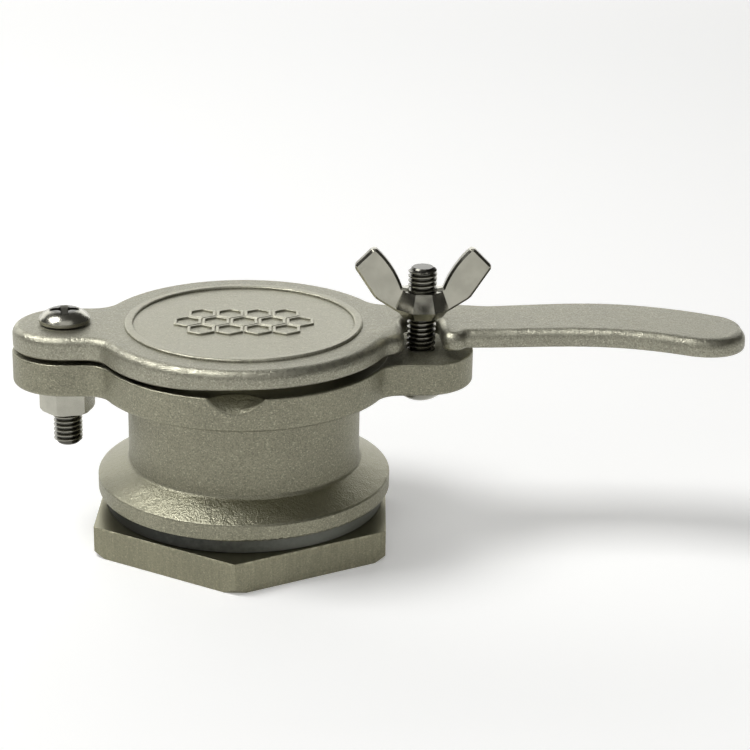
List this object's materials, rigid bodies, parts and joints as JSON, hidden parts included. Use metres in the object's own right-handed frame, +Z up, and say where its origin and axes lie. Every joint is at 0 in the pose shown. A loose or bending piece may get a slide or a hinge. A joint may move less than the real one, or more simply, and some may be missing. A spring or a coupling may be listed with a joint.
{
  "type": "swing gate valve",
  "caption": "Stainless steel swing gate valve for honey or thick liquids, with a threaded tank spigot, a pivoting lid with lever, and a wing nut clamp.",
  "frame": {"origin": "on the bore's axis at the spigot's open end, where the bore begins", "axes": "+Z runs up along the bore from the tank end to the gate, +X runs from the pivot to the clamp and on along the lever, and -Y is the side that the clamp slot opens to"},
  "size_m": [0.151, 0.0692, 0.0617],
  "materials": {
    "body_casting": "blasted casting, satin, machined faces",
    "gate_casting": "blasted casting, satin",
    "fastener_steel": "bright rolled stainless",
    "wing_nut_steel": "tumbled casting with bright edges",
    "nut_steel": "satin, sawn and turned",
    "gasket_rubber": "matt blue-grey"
  },
  "bodies": {
    "valve": {"valve_body": "body_casting", "pivot_screw": "fastener_steel", "pivot_washer": "fastener_steel", "lock_washer": "fastener_steel", "pivot_nut": "fastener_steel", "clamp_screw": "fastener_steel"},
    "swing_gate": {"gate": "gate_casting"},
    "wing": {"wing_nut": "wing_nut_steel"},
    "gasket": {"tank_gasket": "gasket_rubber"},
    "hex": {"mounting_nut": "nut_steel"}
  },
  "joints": [
    {"name": "gate_swing", "type": "hinge", "parent": "valve", "child": "swing_gate", "pos_m": [-0.0368, 0, 0.0418], "axis": [0, 0, 1], "range_deg": [0, 345]},
    {"name": "wing_nut_turn", "type": "hinge", "parent": "valve", "child": "wing", "pos_m": [0.0368, 0, 0.0472], "axis": [0, 0, 1], "range_deg": [-576, 1836]},
    {"name": "gasket_slide", "type": "slide", "parent": "valve", "child": "gasket", "axis": [0, 0, 1], "range_m": [-0.0058, 0]},
    {"name": "mounting_nut_turn", "type": "hinge", "parent": "gasket", "child": "hex", "pos_m": [0, 0, 0], "axis": [0, 0, 1], "range_deg": [-900, 0]}
  ],
  "couplings": [
    {"joint": "gasket_slide", "follows": "mounting_nut_turn", "m_per_rad": 0.0003675}
  ]
}
